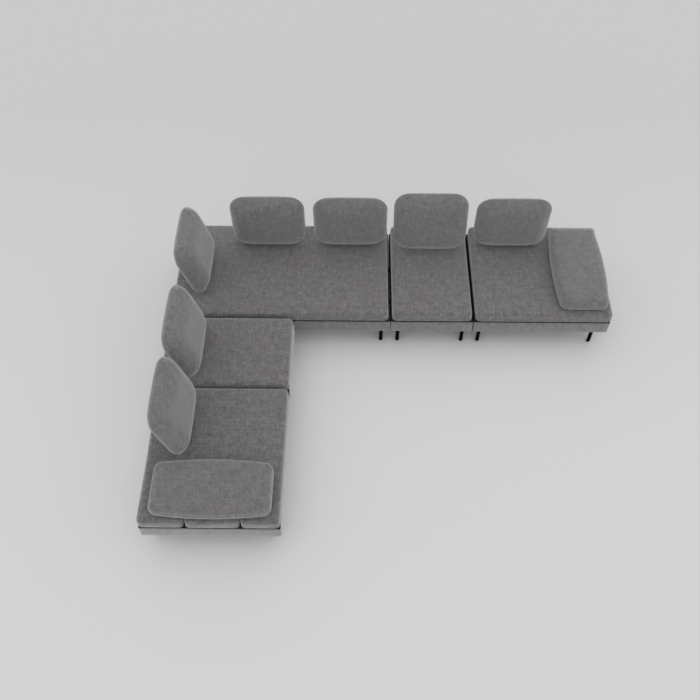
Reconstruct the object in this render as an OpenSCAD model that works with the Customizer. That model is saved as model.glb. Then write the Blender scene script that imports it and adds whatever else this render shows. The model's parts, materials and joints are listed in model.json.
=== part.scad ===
// Corner sofa of five upholstered units in an L, with seven back pads that tilt
// on steel stands and two arm pads that lie on the seat and swing up.
// The frame: X runs along the long row, Y from the front of the sofa to its back,
// Z up from the floor, with the origin under the middle of the sofa.

/* [Units] */
// Depth of every unit, from the front of its seat to its back
unit_depth = 977; // [860:1:1150]
// Width of the long unit in the corner
corner_w = 1746; // [1600:2:2000]
// Width of a narrow unit
narrow_w = 645; // [626:1:700]
// Width of a unit that ends a row, under an arm pad
end_w = 1090; // [1070:5:1250]
// Gap between the seats of two units
unit_gap = 28; // [12:1:40]

/* [Base] */
// Height of the upholstered base above the floor
base_lift = 194; // [120:1:260]
// Height of the upholstered base
base_h = 135; // [110:1:180]
// How far the base stands back from the edge of the seat
base_inset = 2; // [1:1:12]
// Thickness of the padded cover round the base
cover_t = 14; // [8:1:20]
// Radius of the base's upright corners
base_corner_r = 9; // [4:1:14]
// Thickness of a frame rail
rail_t = 22; // [16:1:30]
// Thickness of the slats and of the mounting boards
deck_t = 12; // [9:1:18]
// How far a mounting board reaches in from the edge of the seat
board_reach = 200; // [185:5:230]
// Width of a slat
slat_w = 58; // [40:2:75]
// Distance from one slat to the next, about
slat_pitch = 100; // [85:5:130]

/* [Legs] */
// Diameter of a leg
leg_d = 30; // [22:1:40]
// Thickness of the plate on top of a leg
leg_plate_t = 5; // [3:0.5:8]
// Side of that plate
leg_plate_w = 54; // [46:1:58]
// From a unit's end to the middle of its leg
leg_side = 55; // [54:1:75]
// The same at the end that carries an arm pad
leg_arm_side = 102; // [95:1:160]
// From a unit's front or back to the middle of its leg
leg_front = 60; // [56:1:110]
// Height of the plastic glide under a leg
glide_h = 8; // [5:1:14]

/* [Seat cushions] */
// Height of a seat cushion at its edge
seat_h = 81; // [60:1:120]
// How much higher a seat cushion is in its middle
seat_crown = 5; // [0:1:6]
// Radius of a seat cushion's corners, seen from above
seat_corner_r = 42; // [34:1:70]
// Radius of a seat cushion's upper edge
seat_edge_r = 24; // [16:1:32]
// Radius of a seat cushion's lower edge
seat_lower_r = 18; // [6:1:24]
// Width of the slits that let an arm pad's straps through
slit_w = 12; // [11:0.5:16]
// Width of the slits that let a back pad's bars through
back_slit_w = 10; // [9:0.5:16]
// Radius of the seat's corners at the mouth of a strap's slit
slit_mouth_r = 34; // [15:1:40]
// The same at the mouth of a bar's slit
back_mouth_r = 8; // [4:1:20]

/* [Back pads] */
// Width of a back pad
pad_w = 609; // [540:1:640]
// Height of a back pad
pad_h = 514; // [440:1:560]
// Radius of a back pad's corners
pad_corner_r = 126; // [80:1:160]
// How wide the rounding of its rim is
pad_rim = 64; // [40:1:75]
// From the middle plane of a back pad to its front
pad_front = 64; // [50:1:75]
// From the middle plane of a back pad to its flat rear
pad_rear = 53; // [44:1:60]
// How much further out the middle of its front stands
pad_crown = 24; // [0:1:30]
// How much thinner a back pad is at its corners, as a share of its thickness
pad_thin = 0.45; // [0:0.05:0.6]
// From the end of a unit in the long row to the middle of its end pad
pad_from_end = 317; // [312:1:350]
// From the back end of the short row's middle unit to the middle of its pad
short_pad_from_end = 362; // [312:1:380]
// The same for the unit at the front
front_pad_from_end = 342; // [312:1:380]
// Distance between the two back pads of the long unit
pad_pitch = 680; // [645:5:760]
// From the front of the long unit to the middle of its side pad
side_pad_from_front = 426; // [320:1:500]
// How much nearer than the others that pad stands to the edge of the seat
side_pad_out = 24; // [0:1:30]
// How much further in than the others the pad of the long row's middle unit stands
middle_pad_in = 17; // [0:1:24]

/* [Back pad hinges] */
// Height of the hinge pin above the floor
pivot_z = 678.5; // [676:0.5:760]
// From the edge of the seat to the hinge pin
pivot_in = 129; // [115:1:150]
// From the lower edge of a pad up to its hinge pin
pivot_up = 262; // [220:1:262]
// From the flat rear of a pad back to its hinge pin
pivot_behind = 22; // [20:1:30]
// Distance between the two bars of a stand
bar_gap = 140; // [110:2:180]
// Thickness of a bar
bar_t = 8; // [5:0.5:8]
// Depth of a bar
bar_depth = 32; // [24:1:40]
// Diameter of the hinge pin
pin_d = 12; // [8:0.5:14]
// Radius of the hinge barrel
barrel_r = 13; // [11:0.5:15]

/* [Arm pads] */
// Length of an arm pad
arm_l = 832; // [760:1:880]
// Width of an arm pad at its ends
arm_w = 366; // [300:1:420]
// How much wider each long side is in the middle
arm_bulge = 28; // [0:1:34]
// Thickness of an arm pad
arm_t = 112; // [80:1:120]
// How wide the rounding of its rim is
arm_rim = 34; // [26:1:45]
// Radius of an arm pad's corners
arm_corner_r = 48; // [40:1:90]
// From the edge of the seat to the middle of the arm pad's outer side
arm_inset = 18; // [18:1:60]
// From the back of the sofa to the middle of the long row's arm pad
arm_from_back = 524; // [500:1:540]
// From the left of the sofa to the middle of the short row's arm pad
arm_from_left = 514; // [500:1:540]
// Distance between the two straps of an arm pad
strap_gap = 384; // [300:2:460]
// Width of a strap
strap_w = 24; // [16:1:26]
// Diameter of the hinge shaft
shaft_d = 16; // [10:1:16]
// Length of the hinge shaft
shaft_l = 520; // [480:10:600]

/* [Hidden] */
$fn = 40;
JOINT = 0.4;
SEATING = 0.3;
RUNNING = 0.05;
SLOT_PLAY = 0.4;

// Where the units begin, from the sofa's inner corner
middle_x = corner_w + unit_gap;
right_x = middle_x + narrow_w + unit_gap;
side_y = -unit_gap - narrow_w;
front_y = side_y - unit_gap - end_w;
arm_y = unit_depth - arm_from_back;
front_arm_y = unit_depth - arm_from_left;

// Where the back pads stand: name, edge of the sofa, place along it, lean in degrees,
// how much nearer to the edge than the others
PADS = [
    ["corner_side", "left", side_pad_from_front, 15.5, side_pad_out],
    ["corner_left", "back", corner_w - pad_from_end - pad_pitch, 0, 0],
    ["corner_right", "back", corner_w - pad_from_end, -1.5, 0],
    ["middle", "back", middle_x + pad_from_end, 14, -middle_pad_in],
    ["right_end", "back", right_x + pad_from_end, -1.5, 0],
    ["side", "left", side_y + narrow_w - short_pad_from_end, 16, 0],
    ["front_end", "left", front_y + end_w - front_pad_from_end, 16, 0],
];

// The units: name, width, place of the unit's front left corner, turn, side that has
// a second mounting board, slits through the back edge, slits through that side
UNITS = [
    ["corner", corner_w, [0, 0], 0, -1, [PADS[1][2], PADS[2][2]], side_pad_from_front],
    ["middle", narrow_w, [middle_x, 0], 0, 0, [pad_from_end], 0],
    ["right_end", end_w, [right_x, 0], 0, 1, [pad_from_end], arm_y],
    ["side", narrow_w, [unit_depth, side_y], 90, 0, [narrow_w - short_pad_from_end], 0],
    ["front_end", end_w, [unit_depth, front_y], 90, -1, [end_w - front_pad_from_end],
        front_arm_y],
];
ARMS = [
    ["right_end", [right_x + end_w, arm_y], -90],
    ["front_end", [arm_from_left, front_y], 180],
];

total_w = right_x + end_w;
total_d = unit_depth - front_y;

// Heights
base_top = base_lift + base_h;
rail_low = base_lift + 6;
deck_top = base_top - SEATING;
rail_top = deck_top - deck_t;
seat_low = base_top + SEATING;
seat_top = seat_low + seat_h;
plate_t = 5;
foot_z = rail_top - plate_t;

// Insets, from the edge of the seat
rail_out = base_inset + cover_t;
rail_in = rail_out + rail_t;
board_rail = board_reach - rail_t / 2;
max_bay = 330;

// Back pads
pad_mid = pivot_behind + pad_rear;
panel_w = 400;
panel_h = 300;
panel_t = 10;
panel_r = 60;
hinge_plate_w = 200;
hinge_plate_h = 110;
hinge_plate_t = 5;
eye_r = pin_d / 2 + 9;
bar_front = 8;
bar_back = bar_depth - bar_front;
back_slit_reach = pivot_in + middle_pad_in + bar_front + 7;

// Arm pads
arm_low = seat_top + seat_crown + SEATING;
arm_mid_w = arm_w + 2 * arm_bulge;
arm_crown = 4;
shaft_z = arm_low + (arm_t - arm_crown) / 2;
shaft_y = -arm_inset - arm_rim - 4;
strap_eye_r = shaft_d / 2 + 7;
strap_slot_r = strap_eye_r + 4;
finger_l = arm_w * 0.72;
finger_w = 30;
finger_t = 5;
FINGERS = [-0.46, -0.2, 0.2, 0.46];
collar_t = 6;
collar_r = shaft_d / 2 + 5;
arm_slit_reach = -shaft_y + strap_w / 2 + 15;

// Finishes, as the photograph shows them
GREY = [0.43, 0.42, 0.41];
BASE_GREY = [0.46, 0.45, 0.44];
BLACK = [0.05, 0.05, 0.05];
ZINC = [0.6, 0.6, 0.62];
BIRCH = [0.78, 0.65, 0.45];
PINE = [0.82, 0.7, 0.5];
CLOTH = [0.12, 0.12, 0.12];

// Puts a child that is drawn from the sofa's inner corner into the part's frame
module sofa_frame() translate([-total_w / 2, total_d / 2 - unit_depth, 0]) children();

// Puts a child that is drawn in a unit's own frame where that unit stands
module at_unit(u) sofa_frame() translate([u[2][0], u[2][1], 0]) rotate(u[3]) children();

// Puts a child where a pad stands: X along the edge, -Y inwards, and Y = 0 on the edge
// or out from it by the pad's own step
module at_pad(p) {
    spot = p[1] == "back" ? [p[2], unit_depth + p[4], 0] : [-p[4], p[2], 0];
    sofa_frame() translate(spot) rotate(p[1] == "back" ? 0 : 90) children();
}

module at_arm(a) sofa_frame() translate([a[1][0], a[1][1], 0]) rotate(a[2]) children();

// Outline of a rounded rectangle round the origin, with long sides that bow out;
// n points round each corner and m between the corners
function outline(w, d, r, n, m, bow = 0) = [
    for (q = [0:3]) each concat(
        [for (i = [0:n - 1]) bowed(corner_point(w, d, r, q, 90 * i / (n - 1)), w, bow)],
        [for (j = [1:1:m]) bowed(side_point(w, d, r, q, j / (m + 1)), w, bow)])
];
function corner_point(w, d, r, q, a) =
    [(q == 0 || q == 3 ? 1 : -1) * (w / 2 - r) + r * cos(90 * q + a),
     (q < 2 ? 1 : -1) * (d / 2 - r) + r * sin(90 * q + a)];
function side_point(w, d, r, q, t) =
    corner_point(w, d, r, q, 90) * (1 - t) + corner_point(w, d, r, (q + 1) % 4, 0) * t;
function bowed(p, w, bow) = [p[0], p[1] + sign(p[1]) * bow * (1 - pow(2 * p[0] / w, 2))];

// Height at a point of a form that is thinner towards its corners
function thinned(p, w, d, z, thin) =
    [p[0], p[1], z * (1 - thin * pow(abs(p[0] * p[1]) / (w * d / 4), 3))];

// A stuffed form: rings of one outline, each [inset, height, scale], from below to
// above, closed at both ends by a point in the middle
module stuffed(w, d, r, rings, low, high, n, m, bow = 0, thin = 0) {
    size = len(outline(w, d, r, n, m));
    ring_points = [for (k = rings) each
        [for (p = outline(w - 2 * k[0], d - 2 * k[0], max(r - k[0], 1), n, m, bow))
            thinned(p * k[2], w, d, k[1], thin)]];
    last = size * (len(rings) - 1);
    sides = [for (k = [0:len(rings) - 2]) for (i = [0:size - 1])
        let (a = k * size + i, b = k * size + (i + 1) % size) each
            [[a, a + size, b + size], [a, b + size, b]]];
    ends = [for (i = [0:size - 1]) each
        [[size * len(rings), i, (i + 1) % size],
         [size * len(rings) + 1, last + (i + 1) % size, last + i]]];
    polyhedron(concat(ring_points, [[0, 0, low], [0, 0, high]]), concat(sides, ends));
}

// The rim of a cushion as rings, from its flat underside round to its upper face
function rim(e, low, high, steps) = [
    for (i = [0:steps]) let (a = -90 + 180 * i / steps)
        [e * (1 - cos(a)), (low + high) / 2 + (high - low) / 2 * sin(a), 1]];
// Rings that rise from the rim towards the middle
function dome(e, z, rise, scales) = [for (s = scales) [e, z + rise * (1 - s * s), s]];

// Seat cushion in its unit's frame, with a slit for each steel bar
module seat_cushion(u) {
    w = u[1];
    side_rings = [
        [seat_lower_r, 0, 1], [seat_lower_r * 0.3, seat_lower_r * 0.3, 1], [0, seat_lower_r, 1],
        [0, seat_h - seat_edge_r, 1],
        for (a = [30, 60, 90])
            [seat_edge_r * (1 - cos(a)), seat_h - seat_edge_r * (1 - sin(a)), 1]];
    color(GREY) difference() {
        translate([w / 2, unit_depth / 2, seat_low])
            stuffed(w, unit_depth, seat_corner_r,
                concat(side_rings, dome(seat_edge_r, seat_h, seat_crown, [0.8, 0.5])),
                0, seat_h + seat_crown, 5, 1);
        for (x = u[5]) for (s = [-1, 1])
            translate([x + s * bar_gap / 2, unit_depth, 0])
                slit(back_slit_reach, back_slit_w, back_mouth_r);
        if (u[4] != 0) for (s = [-1, 1]) {
            on_arm = u[0] != "corner";
            translate([u[4] < 0 ? 0 : w, u[6] + s * (on_arm ? strap_gap : bar_gap) / 2, 0])
                rotate(u[4] < 0 ? 90 : -90)
                    if (on_arm) slit(arm_slit_reach, slit_w, slit_mouth_r);
                    else slit(back_slit_reach, back_slit_w, back_mouth_r);
        }
    }
}

// A slit that runs in from an edge at Y = 0, with rounded corners at its mouth
module slit(reach, w, r) {
    over = 5;
    translate([0, 0, seat_low - over]) linear_extrude(seat_h + seat_crown + 2 * over) {
        translate([-w / 2, -reach]) square([w, reach + over]);
        for (s = [0, 1]) mirror([s, 0]) difference() {
            translate([0, -r]) square([w / 2 + r, r + over]);
            translate([w / 2 + r, -r]) circle(r);
        }
    }
}

// Padded cover of the base: four sides that meet in a seam at each corner
module base_cover(u) {
    w = u[1] - 2 * base_inset;
    d = unit_depth - 2 * base_inset;
    color(BASE_GREY) translate([base_inset, base_inset, base_lift]) linear_extrude(base_h)
        difference() {
            rounded_square(w, d, base_corner_r);
            translate([cover_t, cover_t]) square([w - 2 * cover_t, d - 2 * cover_t]);
            for (x = [0, w]) for (y = [0, d])
                translate([x, y]) rotate((x == 0) == (y == 0) ? 45 : -45)
                    square([4 * cover_t, JOINT], center = true);
        }
}

module rounded_square(w, d, r) {
    translate([r, 0]) square([w - 2 * r, d]);
    translate([0, r]) square([w, d - 2 * r]);
    for (x = [r, w - r]) for (y = [r, d - r]) translate([x, y]) circle(r);
}

// Leg places in a unit's frame
function leg_xs(u) = [u[4] < 0 && u[0] != "corner" ? leg_arm_side : leg_side,
    u[1] - (u[4] > 0 ? leg_arm_side : leg_side)];
function leg_ys() = [leg_front, unit_depth - leg_front];

// Wooden frame: rails on edge, corner blocks over the legs and the mounting boards
module frame(u) {
    w = u[1];
    left = u[4] < 0 ? board_rail + rail_t + JOINT : rail_in + JOINT;
    right = w - (u[4] > 0 ? board_rail + rail_t + JOINT : rail_in + JOINT);
    front = rail_in + JOINT;
    inner = unit_depth - board_rail - rail_t;
    rail_h = rail_top - rail_low;
    bays = ceil((right - left) / max_bay);
    color(PINE) translate([0, 0, rail_low]) {
        for (y = [rail_out, inner, unit_depth - rail_in]) {
            inside = y == inner;
            x = inside ? rail_in + JOINT : rail_out;
            translate([x, y, 0]) cube([w - 2 * x, rail_t, rail_h]);
        }
        for (x = [rail_out, w - rail_in]) translate([x, front, 0])
            cube([rail_t, unit_depth - 2 * front, rail_h]);
        for (i = [1:1:bays - 1])
            translate([left + (right - left) * i / bays - rail_t / 2, front, 0])
                cube([rail_t, inner - JOINT - front, rail_h]);
        if (u[4] != 0)
            translate([u[4] < 0 ? board_rail : w - board_rail - rail_t, front, 0])
                cube([rail_t, inner - JOINT - front, rail_h]);
        corner_blocks(u);
    }
    color(BIRCH) translate([0, 0, rail_top + 0.001]) boards(u);
}

module corner_blocks(u) {
    block_h = 30;
    reach = leg_plate_w / 2 + 7;
    xs = leg_xs(u);
    for (x = xs) for (y = leg_ys()) {
        at_left = x == xs[0];
        low_x = at_left ? rail_in + JOINT : x - reach;
        high_x = at_left ? x + reach : u[1] - rail_in - JOINT;
        at_front = y == leg_front;
        low_y = at_front ? rail_in + JOINT : y - reach;
        high_y = at_front ? y + reach : unit_depth - rail_in - JOINT;
        translate([low_x, low_y, 0]) cube([high_x - low_x, high_y - low_y, block_h]);
    }
}

// Mounting boards along the back and along the side that carries a pad
module boards(u) {
    w = u[1];
    back_pin = pivot_in + (u[0] == "middle" ? middle_pad_in : 0);
    difference() {
        translate([rail_out, unit_depth - board_reach, 0])
            cube([w - 2 * rail_out, board_reach - rail_out, deck_t]);
        for (x = u[5]) translate([x, unit_depth, 0])
            bar_slots(bar_gap, back_pin, bar_t, bar_back, bar_front);
    }
    if (u[4] != 0) {
        on_arm = u[0] != "corner";
        difference() {
            translate([u[4] < 0 ? rail_out : w - board_reach, rail_out, 0])
                cube([board_reach - rail_out, unit_depth - board_reach - rail_out - JOINT, deck_t]);
            translate([u[4] < 0 ? 0 : w, u[6], 0]) rotate(u[4] < 0 ? 90 : -90)
                if (on_arm) bar_slots(strap_gap, -shaft_y, bar_t, strap_w / 2, strap_w / 2);
                else bar_slots(bar_gap, pivot_in - side_pad_out, bar_t, bar_back, bar_front);
        }
    }
}

// Slots for a pair of bars whose pin stands in from the edge by inset
module bar_slots(gap, inset, t, back, front) {
    for (s = [-1, 1])
        translate([s * gap / 2 - t / 2 - SLOT_PLAY, -inset - front - SLOT_PLAY, -1])
            cube([t + 2 * SLOT_PLAY, back + front + 2 * SLOT_PLAY, deck_t + 2]);
}

// Slats of one unit, from the front rail to the rail under the mounting board
module slats(u) {
    low = u[4] < 0 ? board_reach + JOINT : rail_out;
    high = u[1] - (u[4] > 0 ? board_reach + JOINT : rail_out);
    count = floor((high - low) / slat_pitch);
    pitch = (high - low) / count;
    for (i = [0:count - 1])
        translate([low + (i + 0.5) * pitch - slat_w / 2, rail_out, rail_top])
            cube([slat_w, unit_depth - board_reach - JOINT - rail_out, deck_t]);
}

module seat_slats() color(BIRCH) for (u = UNITS) at_unit(u) slats(u);

// Black cloth stapled under each frame, cut out round the leg plates
module dust_covers() {
    cloth_t = 1.2;
    play = 3;
    color(CLOTH) for (u = UNITS) at_unit(u)
        translate([0, 0, rail_low - cloth_t]) linear_extrude(cloth_t) difference() {
            translate([rail_out + 1, rail_out + 1])
                square([u[1] - 2 * rail_out - 2, unit_depth - 2 * rail_out - 2]);
            for (x = leg_xs(u)) for (y = leg_ys()) translate([x, y])
                square(leg_plate_w + 2 * play, center = true);
            for (x = [join_in, u[1] - join_in]) for (y = JOIN_YS) translate([x, y])
                circle(d = join_boss_d + 2 * play);
            if (u[0] == "corner") for (x = JOIN_YS) translate([x, join_in])
                circle(d = join_boss_d + 2 * play);
        }
}

// Steel leg: a tube with a bore for its glide and a plate with four screw holes
leg_top = rail_low - leg_plate_t;
glide_spigot_d = 20;
glide_spigot_h = 14;
leg_screw_gap = 36;
leg_screw_d = 5;
module leg() {
    difference() {
        union() {
            translate([0, 0, glide_h]) cylinder(d = leg_d, h = leg_top - glide_h);
            translate([-leg_plate_w / 2, -leg_plate_w / 2, leg_top])
                linear_extrude(leg_plate_t) rounded_square(leg_plate_w, leg_plate_w, 6);
        }
        translate([0, 0, glide_h - 1])
            cylinder(d = glide_spigot_d + 2 * RUNNING, h = glide_spigot_h + 1.5);
        at_leg_screws() translate([0, 0, leg_top - 1])
            cylinder(d = leg_screw_d + 2 * SLOT_PLAY, h = leg_plate_t + 2);
    }
}

module at_leg_screws() {
    for (x = [-1, 1]) for (y = [-1, 1])
        translate([x * leg_screw_gap / 2, y * leg_screw_gap / 2, 0]) children();
}

module at_legs() {
    for (u = UNITS) at_unit(u) for (x = leg_xs(u)) for (y = leg_ys())
        translate([x, y, 0]) children();
}

module legs() color(BLACK) at_legs() leg();

module leg_glides() color(BLACK) at_legs() {
    cylinder(d1 = leg_d - 6, d2 = leg_d - 1, h = glide_h, $fn = 48);
    translate([0, 0, glide_h - 0.01]) cylinder(d = glide_spigot_d, h = glide_spigot_h);
}

// Flat steel plates with two bosses that join neighbouring units from below
join_in = rail_out + rail_t / 2;
join_screw_d = 6;
join_plate_t = 3;
join_boss_d = 16;
JOIN_YS = [0.32 * unit_depth, 0.68 * unit_depth];
module at_joins() {
    for (x = [corner_w, right_x - unit_gap]) for (y = JOIN_YS)
        sofa_frame() translate([x + unit_gap / 2, y, 0]) children();
    for (y = [0, side_y]) for (x = JOIN_YS)
        sofa_frame() translate([x, y - unit_gap / 2, 0]) rotate(90) children();
}

module at_join_screws() {
    for (s = [-1, 1]) translate([s * (unit_gap / 2 + join_in), 0, 0]) children();
}

module joining_plates() {
    half = unit_gap / 2 + join_in + 14;
    width = 40;
    boss_h = rail_low - base_lift;
    color(BLACK) at_joins() translate([0, 0, base_lift - join_plate_t]) difference() {
        union() {
            translate([-half, -width / 2, 0]) linear_extrude(join_plate_t)
                rounded_square(2 * half, width, 8);
            at_join_screws() cylinder(d = join_boss_d, h = join_plate_t + boss_h);
        }
        at_join_screws() translate([0, 0, -1])
            cylinder(d = join_screw_d + 2 * SLOT_PLAY, h = join_plate_t + boss_h + 2);
    }
}

// Round-headed screws under the leg plates and the joining plates
module screw(d, top, under) {
    translate([0, 0, under]) cylinder(d = d, h = top - under);
    translate([0, 0, under - d / 2]) cylinder(d = 2 * d, h = d / 2);
}

module frame_screws() color(ZINC) {
    at_legs() at_leg_screws() screw(leg_screw_d, rail_low, leg_top);
    at_joins() at_join_screws() screw(join_screw_d, rail_low, base_lift - join_plate_t);
}

// Puts a child that is drawn round the hinge pin onto its leaning pad
module leaning(p) at_pad(p) translate([0, -pivot_in, pivot_z]) rotate([-p[3], 0, 0]) children();

// Rounded back pad, with a recess in its rear for the panel
module back_cushion(p) {
    rings = concat(
        dome(pad_rim, -pad_rear, 0, [0.6]),
        rim(pad_rim, -pad_rear, pad_front, 6),
        dome(pad_rim, pad_front, pad_crown, [0.75, 0.4]));
    color(GREY) leaning(p) difference() {
        translate([0, -pad_mid, pad_h / 2 - pivot_up]) rotate([90, 0, 0])
            stuffed(pad_w, pad_h, pad_corner_r, rings, -pad_rear, pad_front + pad_crown,
                6, 1, thin = pad_thin);
        panel_space(panel_w + 2 * SEATING, panel_h + 2 * SEATING, panel_t + SEATING, 1);
    }
}

// The room that the rear panel takes, over the back by some extra depth
module panel_space(w, h, t, extra) {
    translate([-w / 2, -pivot_behind + extra, pad_h / 2 - pivot_up - h / 2]) rotate([90, 0, 0])
        linear_extrude(t + extra) rounded_square(w, h, panel_r);
}

module back_panel(p) color(GREY) leaning(p) panel_space(panel_w, panel_h, panel_t, 0);

// Steel hinge leaf on the panel: plate, web with two ribs, and barrel
module back_hinge(p) {
    half = bar_gap / 2 - bar_t / 2 - SEATING;
    web_t = 14;
    rib_h = 70;
    color(BLACK) leaning(p) difference() {
        union() {
            translate([-hinge_plate_w / 2, -pivot_behind + hinge_plate_t, -hinge_plate_h / 2])
                rotate([90, 0, 0]) linear_extrude(hinge_plate_t)
                    rounded_square(hinge_plate_w, hinge_plate_h, 12);
            translate([-half, -pivot_behind, -web_t / 2]) cube([2 * half, pivot_behind, web_t]);
            rotate([0, 90, 0]) translate([0, 0, -half]) cylinder(r = barrel_r, h = 2 * half);
            for (s = [-1, 1]) translate([s * half * 0.55 - 3, 0, 0]) rotate([90, 0, 90])
                linear_extrude(6) polygon([
                    [-pivot_behind, rib_h / 2], [0, barrel_r * 0.8],
                    [0, -barrel_r * 0.8], [-pivot_behind, -rib_h / 2]]);
        }
        rotate([0, 90, 0]) translate([0, 0, -half - 1])
            cylinder(d = pin_d + 2 * RUNNING, h = 2 * half + 2);
    }
}

// Stand: two flat bars with an eye at the top, a tie, and a foot under the board
module back_stand(p) {
    tie_low = 130;
    tie_h = 30;
    tie_t = 6;
    tie_y = 8;
    foot_over = 35;
    foot_front = 42;
    foot_depth = 105;
    color(BLACK) at_pad(p) difference() {
        union() {
            for (s = [-1, 1]) translate([s * bar_gap / 2 - bar_t / 2, -pivot_in, 0])
                rotate([90, 0, 90]) linear_extrude(bar_t) bar_outline();
            translate([-bar_gap / 2, -pivot_in + tie_y, pivot_z - tie_low])
                cube([bar_gap, tie_t, tie_h]);
            translate([-bar_gap / 2 - foot_over, -pivot_in - foot_front, foot_z])
                linear_extrude(plate_t)
                    rounded_square(bar_gap + 2 * foot_over, foot_depth, 10);
        }
        for (s = [-1, 1]) translate([s * bar_gap / 2 - bar_t, -pivot_in, pivot_z])
            rotate([0, 90, 0]) cylinder(d = pin_d + 2 * RUNNING, h = 2 * bar_t);
    }
}

// Side view of a stand's bar, with the hinge pin at X = 0
module bar_outline() {
    shoulder = 45;
    polygon([
        [-bar_front, foot_z], [bar_back, foot_z], [bar_back, pivot_z - shoulder],
        [eye_r * cos(12), pivot_z + eye_r * sin(12)], [-eye_r * cos(12), pivot_z + eye_r * sin(12)],
        [-eye_r * cos(12), pivot_z - eye_r * sin(12)], [-bar_front, pivot_z - shoulder]]);
    translate([0, pivot_z]) circle(eye_r);
}

// Hinge pins with a round head at each end
module back_hinge_pins() {
    reach = bar_gap / 2 + bar_t / 2 + SEATING;
    head_t = 4;
    color(ZINC) for (p = PADS) at_pad(p)
        translate([0, -pivot_in, pivot_z]) rotate([0, 90, 0]) {
            translate([0, 0, -reach]) cylinder(d = pin_d, h = 2 * reach);
            for (s = [0, 1]) mirror([0, 0, s]) translate([0, 0, reach])
                cylinder(d = pin_d * 1.7, h = head_t);
        }
}

// Arm pad, lying on the seat, with room inside for its frame and for the straps
module arm_cushion(a) {
    rings = concat(
        dome(arm_rim, -arm_t / 2, 0, [0.6]),
        rim(arm_rim, -arm_t / 2, arm_t / 2 - arm_crown, 6),
        dome(arm_rim, arm_t / 2 - arm_crown, arm_crown, [0.75, 0.4]));
    color(GREY) at_arm(a) difference() {
        translate([0, -arm_inset - arm_mid_w / 2, arm_low + arm_t / 2])
            stuffed(arm_l, arm_w, arm_corner_r, rings, -arm_t / 2, arm_t / 2, 6, 3, arm_bulge);
        arm_skeleton(SEATING);
        for (s = [-1, 1]) translate([s * strap_gap / 2, shaft_y, shaft_z]) {
            rotate([0, 90, 0]) cylinder(r = strap_slot_r, h = slit_w, center = true);
            translate([-slit_w / 2, -strap_slot_r, -arm_t])
                cube([slit_w, arm_t + strap_slot_r, arm_t + strap_slot_r]);
        }
    }
}

// Shaft with two collars and four flat fingers, grown by play on every side
module arm_skeleton(play) {
    collar_x = strap_gap / 2 - bar_t / 2 - SEATING - collar_t / 2;
    translate([0, shaft_y, shaft_z]) rotate([0, 90, 0]) {
        cylinder(d = shaft_d + 2 * play, h = shaft_l + 2 * play, center = true);
        for (s = [-1, 1]) translate([0, 0, s * collar_x])
            cylinder(r = collar_r + play, h = collar_t + 2 * play, center = true);
    }
    for (f = FINGERS)
        translate([f * shaft_l - finger_w / 2 - play, shaft_y - finger_l - play,
                   shaft_z - finger_t / 2 - play])
            cube([finger_w + 2 * play, finger_l + 2 * play, finger_t + 2 * play]);
}

module arm_frame(a) color(BLACK) at_arm(a) arm_skeleton(0);

// Straps: two flat bars with an eye round the shaft, on one foot under the board
module arm_straps(a) {
    foot_w = 70;
    foot_over = 30;
    color(BLACK) at_arm(a) difference() {
        union() {
            for (s = [-1, 1]) translate([s * strap_gap / 2 - bar_t / 2, shaft_y, 0]) {
                translate([0, -strap_w / 2, foot_z]) cube([bar_t, strap_w, shaft_z - foot_z]);
                translate([0, 0, shaft_z]) rotate([0, 90, 0])
                    cylinder(r = strap_eye_r, h = bar_t);
            }
            translate([-strap_gap / 2 - foot_over, -rail_in - foot_w - 1, foot_z])
                linear_extrude(plate_t)
                    rounded_square(strap_gap + 2 * foot_over, foot_w, 8);
        }
        translate([-shaft_l / 2, shaft_y, shaft_z]) rotate([0, 90, 0])
            cylinder(d = shaft_d + 2 * RUNNING, h = shaft_l);
    }
}

for (u = UNITS) {
    at_unit(u) seat_cushion(u);
    at_unit(u) base_cover(u);
    at_unit(u) frame(u);
}
for (p = PADS) {
    back_cushion(p);
    back_panel(p);
    back_hinge(p);
    back_stand(p);
}
for (a = ARMS) {
    arm_cushion(a);
    arm_frame(a);
    arm_straps(a);
}
back_hinge_pins();
seat_slats();
dust_covers();
legs();
leg_glides();
joining_plates();
frame_screws();
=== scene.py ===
# %% [markdown]
# # A corner sofa with tilting back pads
# The real sofa is five upholstered units that stand side by side in an L. Each unit has a firm
# seat cushion on a fabric-covered base with four thin legs. Round-cornered pads stand along the
# outer edges on steel stands, and a flat pad lies on each outer end. The steel and wooden parts
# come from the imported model, which is also the ruler: every soft part below is measured from it.

import json
from math import cos, pi, radians, sin

import bmesh
import bpy
import numpy as np
from mathutils import Matrix, Vector, noise


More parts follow.
